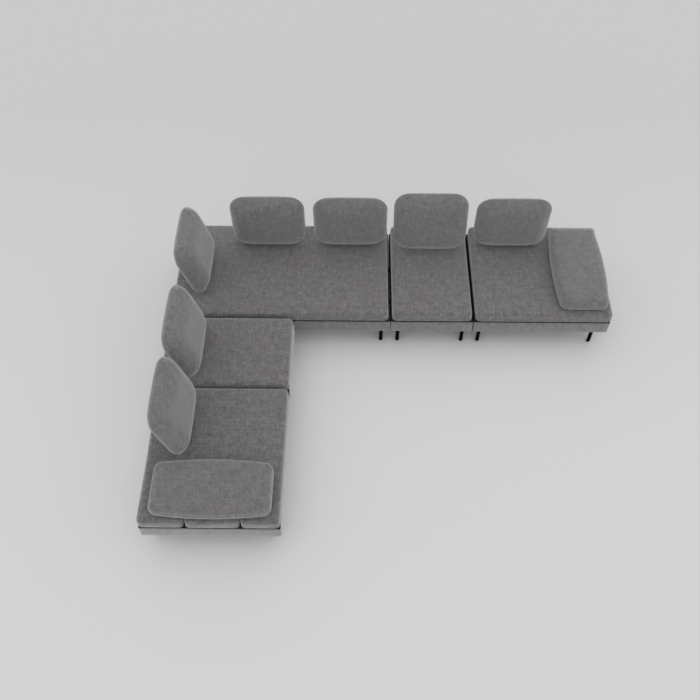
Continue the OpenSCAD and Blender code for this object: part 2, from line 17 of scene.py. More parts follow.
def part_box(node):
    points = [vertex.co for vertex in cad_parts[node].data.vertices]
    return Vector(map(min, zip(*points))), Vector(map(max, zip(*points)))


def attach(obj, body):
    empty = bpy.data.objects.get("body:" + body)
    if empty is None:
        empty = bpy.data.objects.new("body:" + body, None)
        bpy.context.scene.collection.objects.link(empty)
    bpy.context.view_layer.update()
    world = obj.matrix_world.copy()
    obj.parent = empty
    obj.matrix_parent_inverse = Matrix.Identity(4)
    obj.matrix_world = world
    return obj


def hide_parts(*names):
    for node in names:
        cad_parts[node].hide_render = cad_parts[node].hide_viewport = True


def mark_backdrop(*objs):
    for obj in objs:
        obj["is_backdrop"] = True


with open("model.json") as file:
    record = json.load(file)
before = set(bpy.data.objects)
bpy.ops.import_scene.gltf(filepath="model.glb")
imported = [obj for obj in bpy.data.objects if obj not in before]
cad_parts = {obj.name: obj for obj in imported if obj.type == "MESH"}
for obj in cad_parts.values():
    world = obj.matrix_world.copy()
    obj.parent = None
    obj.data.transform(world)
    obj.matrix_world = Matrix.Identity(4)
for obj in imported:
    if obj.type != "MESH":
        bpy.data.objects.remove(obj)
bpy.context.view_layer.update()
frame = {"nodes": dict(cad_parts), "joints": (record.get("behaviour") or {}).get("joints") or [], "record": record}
UNITS = ["corner", "middle", "right_end", "side", "front_end"]

# %% [markdown]
# ## The camera
# The photo looks down on the sofa from the front. Its place and lens were worked out beforehand
# from the straight edges of the seats, so here the camera only needs its numbers. Two angles turn
# it: how far it looks down, and a degree of turn to the left. A small roll levels it as in the
# photo.

# %% Camera of the photo
LENS_PIXELS, PHOTO_PIXELS, SENSOR_MM = 830.77, 700, 36
PITCH, YAW, ROLL = radians(54.369), radians(0.997), radians(-0.396)
EYE = Vector((-0.2642, -3.6949, 5.6483))


def photo_camera():
    forward = Vector((-sin(YAW) * cos(PITCH), cos(YAW) * cos(PITCH), -sin(PITCH)))
    level = Vector((cos(YAW), sin(YAW), 0))
    upright = level.cross(forward)
    right = level * cos(ROLL) + upright * sin(ROLL)
    up = upright * cos(ROLL) - level * sin(ROLL)
    data = bpy.data.cameras.new("photo_camera")
    data.sensor_width = SENSOR_MM
    data.lens = LENS_PIXELS * SENSOR_MM / PHOTO_PIXELS
    data.clip_end = 100
    camera = bpy.data.objects.new("photo_camera", data)
    bpy.context.scene.collection.objects.link(camera)
    turn = Matrix((right, up, -forward)).transposed().to_4x4()
    camera.matrix_world = Matrix.Translation(EYE) @ turn
    bpy.context.scene.camera = camera
    return camera


print("lens", round(photo_camera().data.lens, 2), "mm")

# %% [markdown]
# ## Floor and light
# The photo is lit by a pale studio from all around, so the shadows are only soft dark rims where
# things meet. A world of one even white gives that, with a wide and weak lamp from the front.
# Where the camera sees past the floor, the world has the floor's own grey. The floor is a little
# paler in front than behind. Its shadows are mild in the open and dark right under the sofa, so
# for the camera a part of its colour is its own glow, which fades where the sofa is overhead.

# %% Helpers for material nodes


def set_inputs(made, **inputs):
    for key, value in inputs.items():
        made.inputs[key.replace("_", " ")].default_value = value


def node(tree, kind, **inputs):
    made = tree.nodes.new(kind)
    set_inputs(made, **inputs)
    return made


def new_material(name):
    """A new material with its node tree and its main shader."""
    made = bpy.data.materials.new(name)
    made.use_nodes = True
    return made, made.node_tree, made.node_tree.nodes["Principled BSDF"]


def feed(tree, socket, value):
    """Links another node's output to a socket, or sets the socket to a plain value."""
    if isinstance(value, bpy.types.NodeSocket):
        tree.links.new(value, socket)
    else:
        socket.default_value = value


def grey_range(tree, source, low, high, start=0.0, end=1.0):
    """Spreads the source's values from start to end over low to high."""
    spread = node(
        tree, "ShaderNodeMapRange", From_Min=start, From_Max=end, To_Min=low, To_Max=high)
    tree.links.new(source, spread.inputs["Value"])
    return spread.outputs["Result"]


def maths(tree, operation, one, other):
    step = node(tree, "ShaderNodeMath")
    step.operation = operation
    feed(tree, step.inputs[0], one)
    feed(tree, step.inputs[1], other)
    return step.outputs["Value"]


# %% Pale floor
FLOOR_FAR, FLOOR_NEAR, FAR_Y, NEAR_Y, FLOOR_HALF = 0.592, 0.655, 3.4, -0.6, 15
FLOOR_GLOW, GLOW_REACH, GLOW_START = 0.50, 0.33, 0.27


def floor_paint():
    paint, tree, shader = new_material("floor_paint")
    set_inputs(shader, Roughness=0.9, Specular_IOR_Level=0.2)
    split = node(tree, "ShaderNodeSeparateXYZ")
    tree.links.new(node(tree, "ShaderNodeTexCoord").outputs["Object"], split.inputs["Vector"])
    tone = grey_range(tree, split.outputs["Y"], FLOOR_NEAR, FLOOR_FAR, NEAR_Y, FAR_Y)
    tree.links.new(tone, shader.inputs["Base Color"])
    glow = node(tree, "ShaderNodeEmission")
    tree.links.new(tone, glow.inputs["Color"])
    open_sky = node(tree, "ShaderNodeAmbientOcclusion", Distance=GLOW_REACH)
    amount = grey_range(tree, open_sky.outputs["AO"], 0.0, FLOOR_GLOW, GLOW_START, 1.0)
    seen = node(tree, "ShaderNodeLightPath").outputs["Is Camera Ray"]
    mixed = node(tree, "ShaderNodeMixShader")
    tree.links.new(maths(tree, "MULTIPLY", seen, amount), mixed.inputs["Fac"])
    tree.links.new(shader.outputs["BSDF"], mixed.inputs[1])
    tree.links.new(glow.outputs["Emission"], mixed.inputs[2])
    tree.links.new(mixed.outputs["Shader"], tree.nodes["Material Output"].inputs["Surface"])
    return paint


def plain_floor():
    mesh = bmesh.new()
    bmesh.ops.create_grid(mesh, x_segments=1, y_segments=1, size=FLOOR_HALF)
    data = bpy.data.meshes.new("floor")
    mesh.to_mesh(data)
    mesh.free()
    floor = bpy.data.objects.new("floor", data)
    bpy.context.scene.collection.objects.link(floor)
    data.materials.append(floor_paint())
    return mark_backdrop(floor)


plain_floor()
print("floor from", FLOOR_FAR, "to", FLOOR_NEAR)

# %% Even studio light
SKY_STRENGTH, FRONT_LAMP = 0.98, 0.06
LAMP_SPREAD, LAMP_TILT = radians(60), radians(60)


def studio_light():
    world = bpy.data.worlds.new("studio")
    bpy.context.scene.world = world
    world.use_nodes = True
    tree = world.node_tree
    sky = tree.nodes["Background"]
    seen = node(tree, "ShaderNodeLightPath").outputs["Is Camera Ray"]
    tree.links.new(grey_range(tree, seen, 1.0, FLOOR_NEAR), sky.inputs["Color"])
    set_inputs(sky, Strength=SKY_STRENGTH)
    data = bpy.data.lights.new("front_lamp", "SUN")
    data.energy = FRONT_LAMP
    data.angle = LAMP_SPREAD
    lamp = bpy.data.objects.new("front_lamp", data)
    lamp.rotation_euler = (LAMP_TILT, 0, 0)
    bpy.context.scene.collection.objects.link(lamp)


studio_light()
bpy.context.scene.view_settings.view_transform = "Standard"
print("sky", SKY_STRENGTH, "front lamp", FRONT_LAMP)

# %% [markdown]
# ## The upholstery fabric
# The fabric is a short soft pile on a coarse weave. It shows four things: broad patches that are
# a little warmer, blotches of one to a few centimetres where the pile lies differently, faint
# brushed streaks along and across the weave, and a fine speckle of yarn. Noise gives all of these.
# The pale bloom where the cloth turns away from the eye is the shader's own sheen. Streaks and
# weave follow the piece's own map, so that they tilt with a pad.

# %% Helpers for patterns


def noise_map(tree, source, scale, detail, rough, low, high):
    grain = node(tree, "ShaderNodeTexNoise", Scale=scale, Detail=detail, Roughness=rough)
    tree.links.new(source, grain.inputs["Vector"])
    return grey_range(tree, grain.outputs["Fac"], 0.0, 1.0, low, high)


def blend_colours(tree, factor, one, other, way="MIX"):
    mixed = node(tree, "ShaderNodeMix")
    mixed.data_type = "RGBA"
    mixed.blend_type = way
    for socket, value in (("Factor", factor), ("A", one), ("B", other)):
        feed(tree, next(i for i in mixed.inputs if i.name == socket and i.enabled), value)
    return next(o for o in mixed.outputs if o.enabled)


def stretched(tree, source, scale):
    mapping = node(tree, "ShaderNodeMapping", Scale=scale)
    tree.links.new(source, mapping.inputs["Vector"])
    return mapping.outputs["Vector"]


def add_bump(tree, shader, height, strength, distance):
    bump = node(tree, "ShaderNodeBump", Strength=strength, Distance=distance)
    tree.links.new(height, bump.inputs["Height"])
    tree.links.new(bump.outputs["Normal"], shader.inputs["Normal"])


# %% Soft grey fabric
YARN_PITCH, YARN_RELIEF = 0.0024, 0.0012
WARM_TINT = (0.03, -0.04, -0.03)
PATCHES, BLOTCHES, SPOTS, SPECKLE = 2.6, 22.0, 75.0, 330.0
STREAKS_UP, STREAKS_ALONG = (70, 9, 1), (9, 70, 1)


def pile_fabric(name, shade, sheen, mottle):
    """The mottle says how far the pattern departs from the plain shade."""
    cloth, tree, shader = new_material(name)
    place = node(tree, "ShaderNodeTexCoord")
    own, flat = place.outputs["Object"], place.outputs["UV"]
    patches = noise_map(tree, own, PATCHES, 2, 0.5, 0.42, 0.62)
    warm = [shade * (1 + tint * mottle) for tint in WARM_TINT] + [1]
    colour = blend_colours(tree, patches, [shade, shade, shade, 1], warm)
    speckle = noise_map(tree, own, SPECKLE, 2, 0.6, 0.3, 0.7)
    layers = [
        (noise_map(tree, own, BLOTCHES, 3, 0.6, 0.33, 0.67), 0.17),
        (noise_map(tree, own, SPOTS, 3, 0.6, 0.3, 0.7), 0.30),
        (noise_map(tree, stretched(tree, flat, STREAKS_UP), 1.0, 3, 0.55, 0.3, 0.7), 0.14),
        (noise_map(tree, stretched(tree, flat, STREAKS_ALONG), 1.0, 3, 0.55, 0.3, 0.7), 0.12),
        (speckle, 0.28),
    ]
    for source, reach in layers:
        veil = grey_range(tree, source, 1 - reach * mottle, 1 + reach * mottle)
        colour = blend_colours(tree, 1.0, colour, veil, "MULTIPLY")
    tree.links.new(colour, shader.inputs["Base Color"])
    weave_bump(tree, shader, flat, speckle)
    set_inputs(shader, Roughness=0.95, Specular_IOR_Level=0.1)
    set_inputs(shader, Sheen_Weight=sheen, Sheen_Roughness=0.5)
    return cloth


# %% Woven relief


def weave_bump(tree, shader, flat, speckle):
    """Yarns over and under each other, with loose fibres on top."""
    bands = []
    for axis in ("X", "Y"):
        band = node(tree, "ShaderNodeTexWave", Scale=pi / (10 * YARN_PITCH), Distortion=0.6)
        band.bands_direction = axis
        tree.links.new(flat, band.inputs["Vector"])
        bands.append(band.outputs["Fac"])
    rise = maths(tree, "ADD", maths(tree, "MULTIPLY", *bands), speckle)
    add_bump(tree, shader, rise, 0.3, YARN_RELIEF)


SEAT_FABRIC = pile_fabric("seat_pile_fabric", 0.147, 0.82, 1.0)
PAD_FABRIC = pile_fabric("pad_pile_fabric", 0.155, 0.68, 0.7)
BASE_FABRIC = pile_fabric("base_pile_fabric", 0.150, 1.0, 1.0)
print("fabrics", SEAT_FABRIC.name, PAD_FABRIC.name, BASE_FABRIC.name)

# %% [markdown]
# ## Steel, wood and plastic
# The legs and stands are powder-coated steel: nearly black, with a fine orange-peel surface. The
# hinge pins and screws are zinc plated. The frame is bare wood with long grain, so its noise is
# stretched. The slats, the boards and the tops of the rails are painted near-black from the tops
# of the rails upwards: painted shade, which is what shows inside the slits.

# %% Black powder coat and zinc


def coated_metal(name, colour, metallic, roughness, grain, depth):
    metal, tree, shader = new_material(name)
    place = node(tree, "ShaderNodeTexCoord")
    peel = noise_map(tree, place.outputs["Object"], grain, 2, 0.5, 0.3, 0.7)
    dark, pale = ([c * share for c in colour] + [1] for share in (0.85, 1.2))
    tree.links.new(blend_colours(tree, peel, dark, pale), shader.inputs["Base Color"])
    add_bump(tree, shader, peel, 0.2, depth)
    set_inputs(shader, Metallic=metallic, Roughness=roughness)
    set_inputs(shader, Specular_IOR_Level=0.5 if metallic else 0.03)
    return metal


POWDER_COAT = coated_metal("black_powder_coat", (0.002, 0.002, 0.0022), 0.0, 0.5, 700, 0.0002)
ZINC = coated_metal("zinc_plate", (0.5, 0.5, 0.52), 1.0, 0.35, 350, 0.0001)
BLACK_PLASTIC = coated_metal("black_plastic", (0.012, 0.012, 0.012), 0.0, 0.6, 500, 0.0002)
print("metals ready")

# %% Bare wood with painted shade on its top, and dust cloth
# Near-black painted shade for the wood above the rail tops, seen inside the slits.
PAINTED_SHADE_BLACK = [0.012, 0.012, 0.012, 1]
PAINTED_SHADE_DEPTH = 0.0125
RAIL_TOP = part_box("corner_frame")[1].z - PAINTED_SHADE_DEPTH


def painted_shade_mask(tree, source):
    """One above the rails, where the wood gets painted shade, nought below them."""
    split = node(tree, "ShaderNodeSeparateXYZ")
    tree.links.new(source, split.inputs["Vector"])
    return maths(tree, "GREATER_THAN", split.outputs["Z"], RAIL_TOP)


def bare_wood(name, pale, dark, stretch):
    wood, tree, shader = new_material(name)
    own = node(tree, "ShaderNodeTexCoord").outputs["Object"]
    grain = noise_map(tree, stretched(tree, own, stretch), 30, 4, 0.6, 0.3, 0.7)
    tone = blend_colours(tree, grain, [*dark, 1], [*pale, 1])
    shaded_tone = blend_colours(tree, painted_shade_mask(tree, own), tone, PAINTED_SHADE_BLACK)
    tree.links.new(shaded_tone, shader.inputs["Base Color"])
    add_bump(tree, shader, grain, 0.2, 0.0005)
    set_inputs(shader, Roughness=0.7)
    return wood


PINE = bare_wood("pine", (0.62, 0.45, 0.26), (0.42, 0.27, 0.13), (1, 1, 8))
BIRCH = bare_wood("birch", (0.66, 0.52, 0.34), (0.5, 0.36, 0.2), (8, 1, 8))
DUST_CLOTH = coated_metal("dust_cloth", (0.01, 0.01, 0.01), 0.0, 0.95, 900, 0.0006)
# Near-black painted shade for the groove under every seat and the sides in the gaps between bases.
PAINTED_SHADE_CLOTH = coated_metal("groove_cloth", (0.025, 0.025, 0.025), 0.0, 0.95, 900, 0.0006)
print("woods ready")

# %% Give the steel and wooden nodes their finishes
FINISHES = {
    "black_steel": POWDER_COAT,
    "zinc_steel": ZINC,
    "black_plastic": BLACK_PLASTIC,
    "pine": PINE,
    "birch": BIRCH,
    "black_cloth": DUST_CLOTH,
    "base_fabric": BASE_FABRIC,
}


def dress_nodes():
    slots = {s["node"]: s["material_slot"] for s in frame["record"]["subparts"]}
    dressed = 0
    for name, thing in frame["nodes"].items():
        if slots[name] in FINISHES:
            thing.data.materials.clear()
            thing.data.materials.append(FINISHES[slots[name]])
            dressed += 1
    return dressed


print("nodes dressed", dress_nodes())

# %% [markdown]
# ## How a cushion is made
# A foam cushion in a sewn cover starts as its flat outline. The outline is lifted to a block, the
# upright edges are rounded, then the rims. Planes then cut the block into small squares, so that
# the cover can swell. Cutting after rounding keeps the rims clean.

# %% Block from an outline
SAME, NEAR = 1e-6, 2e-4


def lift_outline(points, low, high):
    mesh = bmesh.new()
    ring = [mesh.verts.new((x, y, low)) for x, y in points]
    lower = mesh.faces.new(ring)
    lifted = bmesh.ops.extrude_face_region(mesh, geom=[lower])["geom"]
    raised = [v for v in lifted if isinstance(v, bmesh.types.BMVert)]
    bmesh.ops.translate(mesh, verts=raised, vec=(0, 0, high - low))
    bmesh.ops.recalc_face_normals(mesh, faces=mesh.faces)
    return mesh


def round_edges(mesh, edges, radius, segments):
    bmesh.ops.bevel(
        mesh, geom=edges, offset=radius, offset_type="OFFSET", segments=segments,
        profile=0.5, affect="EDGES", clamp_overlap=False, material=-1,
    )


def upright_edges(mesh, wanted):
    found = []
    for edge in mesh.edges:
        a, b = (v.co for v in edge.verts)
        if (a.xy - b.xy).length < SAME and wanted(a.x, a.y):
            found.append(edge)
    return found


def rim_edges(mesh, height):
    return [
        e for e in mesh.edges
        if all(abs(v.co.z - height) < SAME for v in e.verts)
        and sum(abs(f.normal.z) > 0.9 for f in e.link_faces) == 1
    ]


# %% Cut into squares
LINE_CLEAR = 0.004


def cut_squares(mesh, step, levels=(), lines=()):
    """Cuts by even planes along X and Y, at given heights, and at extra (axis, place) lines."""
    low = [min(v.co[i] for v in mesh.verts) for i in (0, 1)]
    high = [max(v.co[i] for v in mesh.verts) for i in (0, 1)]
    places = [(2, z) for z in levels] + list(lines)
    for i in (0, 1):
        count = round((high[i] - low[i]) / step)
        even = [low[i] + (high[i] - low[i]) * k / count for k in range(1, count)]
        mine = [at for axis, at in lines if axis == i]
        places += [(i, at) for at in even if all(abs(at - other) > LINE_CLEAR for other in mine)]
    for i, at in places:
        spot, normal = [0, 0, 0], [0, 0, 0]
        spot[i], normal[i] = at, 1
        everything = mesh.verts[:] + mesh.edges[:] + mesh.faces[:]
        bmesh.ops.bisect_plane(
            mesh, geom=everything, dist=1e-5, plane_co=spot, plane_no=normal
        )
    bmesh.ops.remove_doubles(mesh, verts=mesh.verts, dist=NEAR)
    odd = [f for f in mesh.faces if len(f.verts) > 4]
    bmesh.ops.triangulate(mesh, faces=odd)
    mesh.normal_update()


def press_in(mesh, depth, wanted):
    """Pulls the wanted points in along their normals, for seams and creases."""
    mesh.normal_update()
    chosen = [v for v in mesh.verts if wanted(v.co)]
    for vert in chosen:
        vert.co -= vert.normal * depth
    return len(chosen)


# %% Lay the weave and finish a piece


def lay_weave(mesh):
    layer = mesh.loops.layers.uv.new("weave")
    for face in mesh.faces:
        n = [abs(c) for c in face.normal]
        flat = n.index(max(n))
        a, b = [(1, 2), (0, 2), (0, 1)][flat]
        for loop in face.loops:
            loop[layer].uv = (loop.vert.co[a], loop.vert.co[b])


def finish_piece(mesh, name, material):
    lay_weave(mesh)
    bmesh.ops.recalc_face_normals(mesh, faces=mesh.faces)
    data = bpy.data.meshes.new(name)
    mesh.to_mesh(data)
    mesh.free()
    data.shade_smooth()
    data.materials.append(material)
    piece = bpy.data.objects.new(name, data)
    bpy.context.scene.collection.objects.link(piece)
    return piece


def copy_piece(pattern, name, place):
    piece = bpy.data.objects.new(name, pattern.data.copy())
    piece.data.name = name
    bpy.context.scene.collection.objects.link(piece)
    piece.data.transform(place)
    return piece


print("cushion helpers ready")

# %% [markdown]
# ## Stuffing
# A stuffed cover is blown out by its filling and held by its seams. Blender's Cloth does this with
# air pressure and no weight. Points that are sewn down or lie on something stay put. The result is
# kept within a small distance of the cut shape, because a foam cushion swells only a little.

# %% Swell a cover with Cloth
ON_SEAM = 3e-4


def stuff(piece, is_held, pressure, limit, frames=20):
    rest = np.array([v.co for v in piece.data.vertices])
    held = [i for i, co in enumerate(rest) if is_held(co)]
    group = piece.vertex_groups.new(name="sewn")
    group.add(held, 1.0, "REPLACE")
    cover = piece.modifiers.new("cover", "CLOTH").settings
    cover.vertex_group_mass = "sewn"
    cover.use_pressure = True
    cover.uniform_pressure_force = pressure
    cover.effector_weights.gravity = 0
    cover.quality = 5
    cover.bending_stiffness = 0.8
    for moment in range(1, frames + 1):
        bpy.context.scene.frame_set(moment)
    live = piece.evaluated_get(bpy.context.evaluated_depsgraph_get())
    swollen = np.array([v.co for v in live.data.vertices])
    piece.modifiers.clear()
    piece.vertex_groups.clear()
    move = swollen - rest
    size = np.linalg.norm(move, axis=1, keepdims=True)
    move *= limit * np.tanh(size / limit) / np.maximum(size, 1e-9)
    for vert, co in zip(piece.data.vertices, rest + move):
        vert.co = co
    bpy.context.scene.frame_set(1)
    return float(np.linalg.norm(move, axis=1).max())


# %% [markdown]
# ## Seat cushions
# Each seat is one thick cushion with slits for the steel bars of the stands. The slits of an arm
# pad's straps are open, with a rounded lobe on each side, so the outline is walked round with a
# notch for each. The slits of the back pads' bars are pressed shut by the foam. They are drawn in
# along a line once the block has been cut. At some sides a seat stands a few millimetres proud of
# its box, as in the photo. Its top stays just under the box, so that a pad can tilt over it.

# %% Where the slits are
STRAPS_APART, BARS_APART = 0.384, 0.140
STRAP_SLIT, STRAP_REACH, BAR_REACH = 0.012, 0.091, 0.170


def slits_of(unit):
    """Slits as (kind, side, place along that side), from the stands that the model holds."""
    low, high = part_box(unit + "_seat_cushion")
    sides = {"back": (1, high.y), "left": (0, low.x), "right": (0, high.x), "front": (1, low.y)}
    found = []
    for name in frame["nodes"]:
        kind = next((k for k in ("back_stand", "arm_straps") if name.endswith(k)), None)
        if kind is None:
            continue
        middle = sum(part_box(name), Vector()) / 2
        if not (low.x < middle.x < high.x and low.y < middle.y < high.y):
            continue
        side = min(sides, key=lambda e: abs(middle[sides[e][0]] - sides[e][1]))
        along = middle[1 - sides[side][0]]
        apart = BARS_APART if kind == "back_stand" else STRAPS_APART
        found += [(kind, side, along - apart / 2), (kind, side, along + apart / 2)]
    return found


for unit in UNITS:
    print(unit, [(kind, side, round(at, 3)) for kind, side, at in slits_of(unit)])

# %% Outline with notches


def notched_outline(low, high, notches):
    """Corner points anticlockwise from the front left corner, with a notch at every strap."""
    walk = [
        ("front", Vector((low.x, low.y)), Vector((1, 0))),
        ("right", Vector((high.x, low.y)), Vector((0, 1))),
        ("back", Vector((high.x, high.y)), Vector((-1, 0))),
        ("left", Vector((low.x, high.y)), Vector((0, -1))),
    ]
    points = []
    for name, start, along in walk:
        points.append(start)
        inward = Vector((-along.y, along.x))
        axis = 0 if along.x else 1
        mine = [abs(at - start[axis]) for side, at in notches if side == name]
        for reach in sorted(mine):
            for step, depth in ((-1, 0), (-1, STRAP_REACH), (1, STRAP_REACH), (1, 0)):
                points.append(start + along * (reach + step * STRAP_SLIT / 2) + inward * depth)
    return points


# %% Cut a seat's block
SEAT_CORNER, SEAT_RIM, SEAT_FOOT, LOBE_ROUND = 0.040, 0.024, 0.007, 0.028
SEAT_SQUARE, SEAT_CROWN, SEAT_PLAY = 0.03, 0.005, 0.001
CREASE_HALF, CREASE_DEPTH, SEAM_RISE, SEAM_HALF = 0.006, 0.005, 0.004, 0.003
RIPPLE, RIPPLES_PER_METRE = 0.0012, 7
SEAT_GROWTH = {
    "corner": [("low", 0, 0.005), ("high", 1, 0.014)],
    "middle": [("high", 1, 0.014)],
    "right_end": [("high", 0, 0.008), ("high", 1, 0.011)],
    "side": [("low", 0, 0.004), ("high", 0, 0.005), ("low", 1, 0.009)],
    "front_end": [
        ("low", 0, 0.004), ("high", 0, 0.005), ("low", 1, 0.006), ("high", 1, 0.003)],
}


def grown_box(name, growth):
    """The box of a model piece, moved outwards at some sides where soft fabric stands proud."""
    low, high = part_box(name)
    for end, axis, amount in growth:
        if end == "low":
            low[axis] -= amount
        else:
            high[axis] += amount
    return low, high


def edge_distance(co, low, high):
    return {"left": co[0] - low.x, "right": high.x - co[0],
            "front": co[1] - low.y, "back": high.y - co[1]}


def beside(co, side, at):
    return (co[0] if side in ("back", "front") else co[1]) - at


def seat_block(unit):
    low, high = grown_box(unit + "_seat_cushion", SEAT_GROWTH[unit])
    slits = slits_of(unit)
    straps = [(side, at) for kind, side, at in slits if kind == "arm_straps"]
    bars = [(side, at) for kind, side, at in slits if kind == "back_stand"]
    top = high.z - SEAT_CROWN
    mesh = lift_outline(notched_outline(low, high, straps), low.z, top)

    def notch_edges(depth):
        return upright_edges(mesh, lambda x, y: any(
            abs(abs(beside((x, y), side, at)) - STRAP_SLIT / 2) < NEAR
            and abs(edge_distance((x, y), low, high)[side] - depth) < NEAR
            for side, at in straps))

    corners = upright_edges(
        mesh, lambda x, y: sum(d < NEAR for d in edge_distance((x, y), low, high).values()) == 2)
    round_edges(mesh, corners, SEAT_CORNER, 8)
    if straps:
        round_edges(mesh, notch_edges(0), LOBE_ROUND, 8)
        round_edges(mesh, notch_edges(STRAP_REACH), STRAP_SLIT * 0.45, 4)
    round_edges(mesh, rim_edges(mesh, top), SEAT_RIM, 6)
    round_edges(mesh, rim_edges(mesh, low.z), SEAT_FOOT, 5)
    lines = [(0 if side in ("back", "front") else 1, at + k * CREASE_HALF)
             for side, at in bars for k in (-1, 0, 1)]
    seam = low.z + SEAT_FOOT + SEAM_RISE
    cut_squares(mesh, SEAT_SQUARE, (seam - SEAM_HALF, seam, seam + SEAM_HALF), lines)
    middle, half = (low + high) / 2, (high - low) / 2
    for vert in mesh.verts:
        u, v = (vert.co.x - middle.x) / half.x, (vert.co.y - middle.y) / half.y
        rise = max(0, (vert.co.z - low.z) / (top - low.z)) ** 2
        ripple = RIPPLE * noise.noise(vert.co * RIPPLES_PER_METRE)
        vert.co.z += rise * (SEAT_CROWN * 0.8 * max(0, 1 - u ** 4) * max(0, 1 - v ** 4) + ripple)

    def in_crease(co):
        return any(abs(beside(co, side, at)) < NEAR
                   and edge_distance(co, low, high)[side] < BAR_REACH for side, at in bars)

    print(unit, "crease points", press_in(mesh, CREASE_DEPTH, in_crease))
    return mesh, seam, bars


# %% Sew the five seats
SEAT_PRESSURE, SEAT_SWELL, SLIT_HELD, FOOT_HELD = 3.0, 0.004, 0.03, 0.010

for unit in UNITS:
    low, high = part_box(unit + "_seat_cushion")
    mesh, seam, bars = seat_block(unit)
    seat = finish_piece(mesh, unit + "_seat_cover", SEAT_FABRIC)
    def seat_is_held(co):
        creased = any(abs(beside(co, side, at)) < CREASE_HALF + NEAR
                      and edge_distance(co, low, high)[side] < BAR_REACH + SLIT_HELD
                      for side, at in bars)
        return creased or co[2] < low.z + FOOT_HELD or abs(co[2] - seam) < ON_SEAM

    grown = stuff(seat, seat_is_held, SEAT_PRESSURE, SEAT_SWELL)
    print(unit, "swelled", round(grown * 1000, 1), "mm")
    for vert in seat.data.vertices:
        vert.co.z = min(vert.co.z, high.z - SEAT_PLAY)
    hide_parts(unit + "_seat_cushion")
    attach(seat, "base")
    print(seat.name, len(seat.data.polygons), "faces")

# %% [markdown]
# ## Base covers
# The base is a wooden box with thin padding under tight fabric, sewn together at its four corners.
# The padding swells into the gaps, so that two bases nearly touch, and the sides that face each
# other there are near-black: painted shade in the gap. At the top the fabric ends at a strip that
# runs round behind its edge, and that strip is near-black too: painted shade, which makes the
# groove the dark line under every seat. The outline is lifted and rounded, the ends are opened, the
# top is drawn in, and the skin gets its thickness. Each side bulges a millimetre, and each corner
# seam is drawn in.

# %% One base cover
COVER_CORNER, COVER_FOOT, COVER_SKIN, COVER_SQUARE = 0.008, 0.004, 0.006, 0.05
COVER_SEAM, COVER_BULGE = 0.0012, 0.0012
TUCK_DEPTH, TUCK_HEIGHT, HEM_HEIGHT, HEM_DEPTH = 0.0115, 0.0115, 0.001, 0.0008
GAP_SWELL, GAP_SHADE_DEPTH, GAP_TURN = 0.0125, 0.016, 0.4
BASE_GROWTH = {
    "corner": [("high", 0, GAP_SWELL)],
    "middle": [("low", 0, GAP_SWELL), ("high", 0, GAP_SWELL)],
    "right_end": [("low", 0, GAP_SWELL)],
    "side": [("low", 1, GAP_SWELL), ("high", 1, GAP_SWELL), ("high", 0, 0.005)],
    "front_end": [("high", 1, GAP_SWELL), ("low", 1, 0.006), ("high", 0, 0.005)],
}


def in_gap(face, unit, low, high):
    """Whether a face lies in the gap to a neighbour and not round its visible ends."""
    spot = face.calc_center_median()
    for end, axis, amount in BASE_GROWTH[unit]:
        depth = spot[axis] - low[axis] if end == "low" else high[axis] - spot[axis]
        turned = abs(face.normal[1 - axis]) >= GAP_TURN
        if amount == GAP_SWELL and depth < GAP_SHADE_DEPTH and not turned:
            return True
    return False


def draw_in(verts, low, high, depth):
    """Moves points that lie round the box towards its middle by the same depth on every side."""
    middle, half = (low + high) / 2, (high - low) / 2
    for vert in verts:
        for i in (0, 1):
            vert.co[i] = middle[i] + (vert.co[i] - middle[i]) * (1 - depth / half[i])


def base_cover(unit):
    low, high = grown_box(unit + "_base_cover", BASE_GROWTH[unit])
    points = [(low.x, low.y), (high.x, low.y), (high.x, high.y), (low.x, high.y)]
    mesh = lift_outline(points, low.z, high.z)
    round_edges(mesh, upright_edges(mesh, lambda x, y: True), COVER_CORNER, 8)
    round_edges(mesh, rim_edges(mesh, low.z), COVER_FOOT, 3)
    tuck = high.z - TUCK_HEIGHT
    levels = [low.z + (tuck - low.z) * t for t in (0.2, 0.4, 0.6, 0.8)]
    cut_squares(mesh, COVER_SQUARE, levels + [tuck - 0.003, tuck - HEM_HEIGHT, tuck])
    ends = [f for f in mesh.faces if abs(f.normal.z) > 0.999]
    bmesh.ops.delete(mesh, geom=ends, context="FACES")
    corner = COVER_CORNER * (1 - 0.5 ** 0.5)
    press_in(mesh, COVER_SEAM, lambda co: all(
        abs(min(co[i] - low[i], high[i] - co[i]) - corner) < 5e-4 for i in (0, 1)))
    for vert in mesh.verts:
        t = (vert.co.z - low.z) / (tuck - low.z)
        swell = COVER_BULGE * max(0, 4 * t * (1 - t))
        for i in (0, 1):
            if min(vert.co[i] - low[i], high[i] - vert.co[i]) < 1e-4:
                vert.co[i] += swell if vert.co[i] > (low[i] + high[i]) / 2 else -swell
    draw_in([v for v in mesh.verts if v.co.z > tuck - NEAR], low, high, TUCK_DEPTH)
    hem = [v for v in mesh.verts if abs(v.co.z - tuck + HEM_HEIGHT) < NEAR]
    draw_in(hem, low, high, HEM_DEPTH)
    mesh.normal_update()
    # Faces in the top groove and in the gaps to neighbours get the near-black painted shade.
    for face in mesh.faces:
        grooved = min(v.co.z for v in face.verts) > tuck - 0.0015
        face.material_index = 1 if grooved or in_gap(face, unit, low, high) else 0
    bmesh.ops.solidify(mesh, geom=mesh.faces[:], thickness=COVER_SKIN)
    cover = finish_piece(mesh, unit + "_base_skin", BASE_FABRIC)
    cover.data.materials.append(PAINTED_SHADE_CLOTH)
    return cover


